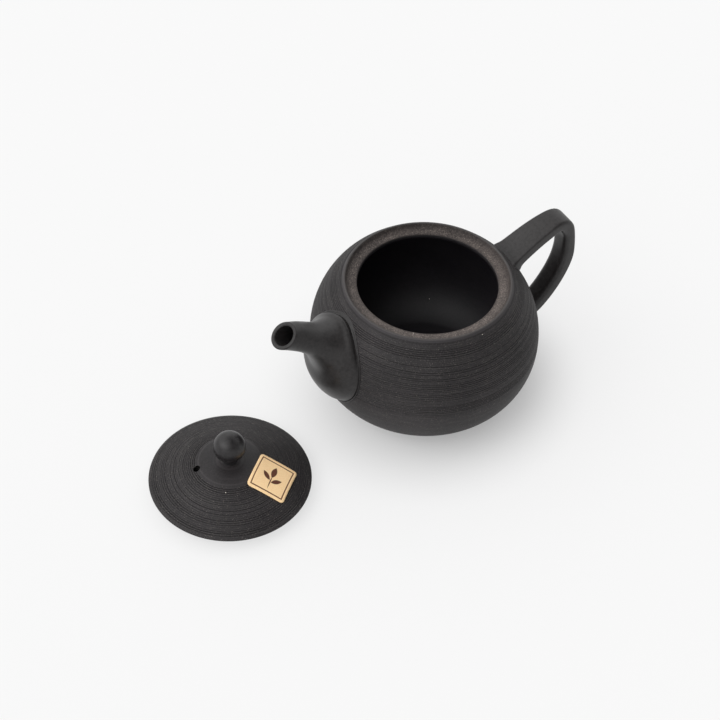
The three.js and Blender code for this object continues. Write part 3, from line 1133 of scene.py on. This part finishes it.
def white_grains(place):
    """Dots in the cells of a Voronoi pattern, kept in the few cells that the pick lets through."""
    grains = {"Vector": place, "Scale": 1 / (GRAIN_GAP * MM), "Randomness": 1.0}
    distance = Wire.node(place.tree, "TexVoronoi", {}, grains)
    pick, _, _ = axes(distance.other("Color"))
    return (1 - band(distance, *GRAIN_EDGE)) * (pick > GRAIN_PICK)


def combed_look(place, comb, speckle, base, relief, rough):
    """Dust and painted shade in the grooves, painted highlights on the ridges, grey specks, painted
    shade inside.
    """
    lines, torn, combed_part = comb(place)
    depth = Wire.node(place.tree, "Attribute", {"attribute_name": "comb_depth"}, {}, "Fac")
    # Painted shade: the inside of the piece is painted darker
    inner = band(depth, 1.2, 1.8)
    # Dust and painted shade: the grooves are painted darker where the lines are deep
    groove = band(depth + 0.45 * (lines - 0.5), 0.1, 0.7) * combed_part * (1 - inner)
    # Painted highlight: the ridges between the grooves are painted paler, as where light catches them
    ridge = (1 - groove) * (1 - inner) * combed_part * lines
    specks = band(noise(place, SPECKS, detail=1), 0.645, 0.71) * combed_part * (1 - inner)
    # These blends paint the highlight on the ridges, the dust and shade in the grooves and the shade
    # inside
    base = blend(ridge * 0.25, base, colour("4f4d4b"))
    base = blend(groove * 0.75, base, colour("0c0b0b"))
    base = blend(inner * 0.6, base, colour("151319"))
    base = blend(specks * speckle, base, colour("76706b"))
    return base, relief + torn, rough + 0.08 * groove - 0.1 * inner


def clay(name, dark, light, rough, mirror=0.25, comb=None, marks_and_painted_light=None, speckle=0.4):
    finish, place, shader = new_finish(name)
    clouds = noise(place, CLOUDS, detail=3)
    mottle = noise(place, COMBED_MOTTLE if comb else MOTTLE, detail=3, roughness=0.65)
    base = blend(band(clouds * 0.45 + mottle * 0.55, 0.3, 0.7), colour(dark), colour(light))
    relief = mottle * 0.4 + noise(place, RELIEF, detail=2) * 0.25
    rough = rough + 0.14 * (mottle - 0.5)
    if comb:
        base, relief, rough = combed_look(place, comb, speckle, base, relief, rough)
    if marks_and_painted_light:
        base, rough = marks_and_painted_light(place, base, rough)
    feed(shader, "Base Color", blend(white_grains(place), base, colour("c9c2b8")))
    feed(shader, "Roughness", rough)
    feed(shader, "Normal", bump(relief, strength=0.35, distance=0.12))
    shader.inputs["Specular IOR Level"].default_value = mirror
    print(name, "has", len(finish.node_tree.nodes), "nodes")
    return finish


smooth_clay = clay("burnished_clay", "161414", "2c2a2a", rough=0.36, mirror=0.29)
knob_clay = clay("polished_clay", "151314", "2b292a", rough=0.35, mirror=0.36)


# %% [markdown]
# ## Torn lines
#
# A comb tears grains out of the clay, so each line is broken along its length. Noise that
# is squeezed across the lines and long along them gives that: on the pot the squeeze is in
# height, and on the lid it is in the distance from the lid's own axis, with a slow drift.
# On the pot the lines fade out low on the belly and end at the line under the crest.

# %% Patterns of the comb on the pot and the lid
# Over these heights, and over these radii, the lines come in
LOW_FADE, OUTSIDE = (9, 14), (38, 40)


def torn_lines(fine_place, broad_place, combed_part):
    fine = noise(fine_place, 0.45, detail=2)
    broad = noise(broad_place, 1.6, detail=1)
    lines = band(fine * 0.6 + broad * 0.4, 0.5, 0.66) * combed_part
    return lines, fine * 0.9 * combed_part, combed_part


def drawn_out(vector, share):
    inputs = {"Vector": vector, "Scale": (share, share, 1.0)}
    return Wire.node(vector.tree, "Mapping", {}, inputs)


def above_crest_line(height):
    return band(height, CREST_FOOT - 0.35, CREST_FOOT - 0.1)


def wall_comb(place):
    radius, height = from_axis(place)
    combed_part = band(height, *LOW_FADE) * (1 - above_crest_line(height)) * band(radius, *OUTSIDE)
    return torn_lines(drawn_out(place, 0.12), drawn_out(place, 0.08), combed_part)


def in_vent(place):
    from_vent, _ = from_axis(place, vent_place)
    return 1 - band(from_vent, VENT_RADIUS, VENT_RADIUS + 0.06)


def lid_comb(place):
    radius, height = from_axis(place, LID_PLACE)
    drift = noise(place, 14, detail=1) * (3 * MM)
    inputs = {"X": radius * MM, "Y": drift, "Z": height * (0.2 * MM)}
    rings = Wire.node(place.tree, "CombineXYZ", {}, inputs)
    combed_part = band(radius, DISC_RADIUS, DISC_RADIUS + 0.6) * (1 - in_vent(place))
    return torn_lines(rings, rings, combed_part)


# %% [markdown]
# ## The bare ledge and the turned disc
#
# The ledge in the mouth is bare brown-grey clay with pale grains. It is paler towards the
# front and darker at the back. Painted shade darkens its inner rim, the corner next to the
# crest and the foot of the crest's flank. The crest itself is painted a little paler than the
# wall as a highlight, with the palest painted highlight line along its top.
#
# The disc of the lid has faint turning rings, painted paler as a sheen, and the wall of the
# vent is painted near black as shade.

# %% Marks and painted light on the pot and the lid, and their two finishes
# The way towards the paler front of the ledge, and over which distances that way it grows paler
PALE_SIDE, PALE_FADE = (-0.15, -0.96), (-33, 15)


def ledge_clay(place, radius, height):
    x, y, _ = axes(place)
    grains = band(noise(place, 0.85, detail=3, roughness=0.8), 0.4, 0.62)
    blotches = band(noise(place, 5, detail=2), 0.35, 0.65)
    # Paler towards the front of the ledge and darker at its back
    paler_to_front = band((PALE_SIDE[0] * x + PALE_SIDE[1] * y) / MM, *PALE_FADE)
    pale = band(noise(place, 0.5, detail=1), 0.6, 0.68)
    # Painted shade on the foot of the crest's inner flank
    flank = band(height, LEDGE_HEIGHT + 0.1, LEDGE_HEIGHT + 0.9)
    # Painted shade at the mouth's rounded rim and in the corner next to the crest
    mouth_rim_shade = 1 - band(radius, MOUTH_RADIUS + 0.2, MOUTH_RADIUS + 1.4)
    crest_corner_shade = band(radius, LEDGE_RADIUS - 2.2, LEDGE_RADIUS - 1.0)
    share = grains * 0.5 + blotches * 0.2 + paler_to_front * 0.3
    brown = blend(share, colour("231f1e"), colour("5e5652"))
    brown = blend(pale * 0.5, brown, colour("8b8078"))
    # These two blends paint the shade on the flank, the rim and the corner
    brown = blend(flank * 0.35, brown, colour("262322"))
    return blend(mouth_rim_shade * 0.45 + crest_corner_shade * 0.35, brown, colour("262120"))


def bare_ledge(place, base, rough):
    radius, height = from_axis(place)
    # Painted highlight: the crest's top is painted paler than the wall
    crest = above_crest_line(height) * band(radius, LEDGE_RADIUS + 0.4, LEDGE_RADIUS + 0.7)
    # Painted highlight: the palest line along the crest's top
    top_highlight = band(height, POT_HEIGHT - 0.4, POT_HEIGHT - 0.1)
    ledge = band(height, LEDGE_HEIGHT - 0.35, LEDGE_HEIGHT - 0.1)
    ledge = ledge * (1 - band(radius, LEDGE_RADIUS + 0.3, LEDGE_RADIUS + 0.6))
    base = blend(crest * 0.6, base, colour("3b383a"))
    base = blend(ledge, base, ledge_clay(place, radius, height))
    return blend(top_highlight * 0.35, base, colour("55524f")), rough + 0.12 * ledge


def turned_disc(place, base, rough):
    radius, _ = from_axis(place, LID_PLACE)
    inputs = {"X": radius * MM, "Z": noise(place, 9) * (2 * MM)}
    rings = Wire.node(place.tree, "CombineXYZ", {}, inputs)
    on_disc = 1 - band(radius, DISC_RADIUS - 0.7, DISC_RADIUS)
    # Painted sheen: faint turning rings on the disc are painted paler
    pale = band(noise(rings, 1.7, detail=2), 0.42, 0.62) * on_disc
    base = blend(pale * 0.35, base, colour("454142"))
    # Painted shade: the wall of the vent is painted near black
    return blend(in_vent(place), base, colour("060505")), rough - 0.14 * on_disc


COMBED = {"dark": "1b191a", "light": "302d2e", "rough": 0.58}
pot_clay = clay("combed_wall_clay", comb=wall_comb, marks_and_painted_light=bare_ledge, **COMBED)
lid_clay = clay("combed_lid_clay", comb=lid_comb, marks_and_painted_light=turned_disc, speckle=0.5, **COMBED)


# %% [markdown]
# ## The printed paper
#
# The label is uncoated tan paper with a thin brown frame. Where the real one is printed,
# this one has a plain sprig of three leaves on a stem. Each leaf is drawn from two
# numbers, the distance along it and across it. The print reads the UV map of the paper.

# %% The label's finish
# Distances from the middle of the paper, as shares of its side
FRAME_INNER, FRAME_OUTER = (0.398, 0.406), (0.427, 0.435)
# Middle on the paper, direction in radians, half length and half width. The last is the stem.
SPRIG = [
    ((0.5, 0.63), 1.57, 0.17, 0.075),
    ((0.36, 0.47), 2.5, 0.15, 0.06),
    ((0.64, 0.42), 0.6, 0.15, 0.06),
    ((0.5, 0.34), 1.57, 0.2, 0.016),
]


def leaf(u, v, centre, turn, length, width):
    across, along = math.cos(turn), math.sin(turn)
    du, dv = u - centre[0], v - centre[1]
    far = (du * across + dv * along) * (1 / length)
    side = abs(dv * across - du * along) * (1 / width)
    return 1 - band(far * far + side, 0.86, 1.0)


def printed_paper(name):
    finish, place, shader = new_finish(name)
    flat = Wire.node(place.tree, "UVMap", {"uv_map": label.data.uv_layers.active.name}, {})
    u, v, _ = axes(flat)
    edge = abs(u - 0.5).larger(abs(v - 0.5))
    ink = band(edge, *FRAME_INNER) * (1 - band(edge, *FRAME_OUTER))
    for spot in SPRIG:
        ink = ink.larger(leaf(u, v, *spot))
    fibre = noise(place, 0.35, detail=3, roughness=0.7)
    paper = blend(band(fibre, 0.3, 0.7), colour("f0c896"), colour("fbdcab"))
    feed(shader, "Base Color", blend(ink, paper, colour("5a3120")))
    feed(shader, "Normal", bump(fibre, strength=0.25, distance=0.05))
    shader.inputs["Roughness"].default_value = 0.82
    return finish


paper_finish = printed_paper("tan_paper")
print("the print has", len(SPRIG), "shapes inside its frame")


# %% [markdown]
# ## Dressing the pieces
#
# Each piece gets its finish. It also rides on a body, so that the lid, its knob and the
# label move together, and it hides the solid that it stands for.

# %% The finishes, given to the pieces
def dress(piece, finish, body, slot, *nodes):
    piece.data.materials.clear()
    piece.data.materials.append(finish)
    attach(piece, body)
    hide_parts(*nodes)
    print(piece.name, "wears", finish.name, "and rides on the", body)


dress(pot, pot_clay, "pot", "clay", "pot_body")
dress(spout, smooth_clay, "pot", "clay", "spout")
dress(strainer, smooth_clay, "pot", "clay", "strainer")
dress(handle, smooth_clay, "pot", "clay", "handle")
dress(lid, lid_clay, "lid", "clay", "lid")
dress(knob, knob_clay, "lid", "clay", "lid_knob")
dress(label, paper_finish, "lid", "paper", "label")


# %% [markdown]
# ## The table
#
# The picture was taken on a white table. It is matt white for the light that it returns to
# the teapot. Rays that look, which are those of the camera and mirror-like ones, see a
# darker grey and a faint glow that makes up for it. `OPEN_LIGHT` is how bright a table of
# full white would look where the light reaches it freely, and with its glow it is seen at
# `OPEN_WHITE` there. The grey is the share of a shadow that is seen, and it is larger near
# the pot. Under the lid it is so large that no glow is left, because a glow would shine up
# through the vent.

# %% The table, and the rays that look at it
TABLE_WHITE = 0.9
SHADE_NEAR, SHADE_FAR = 0.52, 0.21
SHADE_FADE = (46, 82)
LID_FADE = (0.62 * SKIRT_RADIUS, SKIRT_RADIUS)
OPEN_LIGHT, OPEN_WHITE = 1.31, 0.95


def looking_rays(tree):
    """1 for rays of the camera and mirror-like rays, 0 for the light that bounces."""
    camera = Wire.node(tree, "LightPath", {}, {}, "Is Camera Ray")
    return camera.larger(camera.other("Is Glossy Ray")).larger(camera.other("Is Transmission Ray"))


def grey(value):
    return Wire.node(value.tree, "CombineColor", {}, dict.fromkeys(("Red", "Green", "Blue"), value))


def table_finish():
    finish, place, shader = new_finish("white_table")
    from_pot, _ = from_axis(place)
    from_lid, _ = from_axis(place, LID_PLACE)
    share = SHADE_FAR + (SHADE_NEAR - SHADE_FAR) * (1 - band(from_pot, *SHADE_FADE))
    under_lid = 1 - band(from_lid, *LID_FADE)
    share = share + under_lid * (OPEN_WHITE / OPEN_LIGHT - share)
    seen = looking_rays(place.tree)
    white = (TABLE_WHITE, TABLE_WHITE, TABLE_WHITE, 1)
    feed(shader, "Base Color", blend(seen, white, grey(share)))
    feed(shader, "Emission Color", blend(seen, (0, 0, 0, 1), grey(OPEN_WHITE - OPEN_LIGHT * share)))
    shader.inputs["Emission Strength"].default_value = 1.0
    shader.inputs["Roughness"].default_value = 0.9
    shader.inputs["Specular IOR Level"].default_value = 0.1
    return finish


start_piece()
bpy.ops.mesh.primitive_plane_add(size=8, enter_editmode=True)
bpy.ops.mesh.subdivide(number_cuts=2)
table = finish_piece("table_top")
table.data.materials.append(table_finish())


# %% [markdown]
# ## The light
#
# The light of the photograph is wide and soft, and comes most of all from the side of the
# spout. There are no lamps: the world is the light, made of ten soft windows in the sky.
# The side of the camera has hardly any. A window is a direction and a strength, and it
# fades with the angle from its middle. Near the horizon, rays that look see plain white.

# %% The world, as soft windows in the sky
SKY_WINDOWS = [
    ((-0.93, 0.0, 0.37), 1.25),
    ((0.93, 0.0, 0.37), 0.78),
    ((0.66, 0.66, 0.37), 0.84),
    ((0.0, 0.93, 0.37), 0.84),
    ((-0.66, 0.66, 0.37), 0.5),
    ((-0.66, -0.66, 0.37), 0.39),
    ((0.66, -0.66, 0.37), 0.1),
    ((0.53, 0.31, 0.79), 0.26),
    ((-0.53, 0.31, 0.79), 0.96),
    ((-0.53, -0.31, 0.79), 0.95),
]
WINDOW_FADE = (0.62, 0.98)
HORIZON_FADE = (0.22, 0.42)


def light_world(windows):
    world = bpy.data.worlds.new("soft_white")
    bpy.context.scene.world = world
    world.use_nodes = True
    world.node_tree.nodes.clear()
    x, y, z = axes(Wire.node(world.node_tree, "TexCoord", {}, {}, "Generated"))
    level = 0
    for toward, strength in windows:
        facing = x * toward[0] + y * toward[1] + z * toward[2]
        level = level + strength * band(facing, *WINDOW_FADE)
    backdrop = looking_rays(world.node_tree) * (1 - band(z, *HORIZON_FADE))
    inputs = {"Color": (1, 1, 1, 1), "Strength": level + backdrop * (1 - level)}
    glow = Wire.node(world.node_tree, "Background", {}, inputs)
    output = world.node_tree.nodes.new("ShaderNodeOutputWorld")
    world.node_tree.links.new(glow.socket, output.inputs["Surface"])


light_world(SKY_WINDOWS)
print("the sky has", len(SKY_WINDOWS), "soft windows")


# %% [markdown]
# ## The camera
#
# The camera stands where the photograph was taken from, in front of the pot and towards
# its spout, and looks down at about 46 degrees. Its place is in metres, and its turns
# about X, Y and Z are in degrees.

# %% The camera
CAMERA_PLACE = (-0.3672, -0.5126, 0.67285)
CAMERA_TURNS = (43.5208, -1.6865, -31.2247)
LENS, SENSOR = 97.95, 36


def photo_camera():
    data = bpy.data.cameras.new("camera")
    camera = bpy.data.objects.new("camera", data)
    bpy.context.collection.objects.link(camera)
    turns = Euler([math.radians(turn) for turn in CAMERA_TURNS])
    camera.matrix_world = Matrix.LocRotScale(Vector(CAMERA_PLACE), turns, None)
    data.sensor_width = SENSOR
    data.lens = LENS
    data.clip_start, data.clip_end = 0.05, 20
    bpy.context.scene.camera = camera


photo_camera()
bpy.context.scene.view_settings.view_transform = "Standard"
print("the camera is", round(Vector(CAMERA_PLACE).length, 2), "m from the foot of the pot")
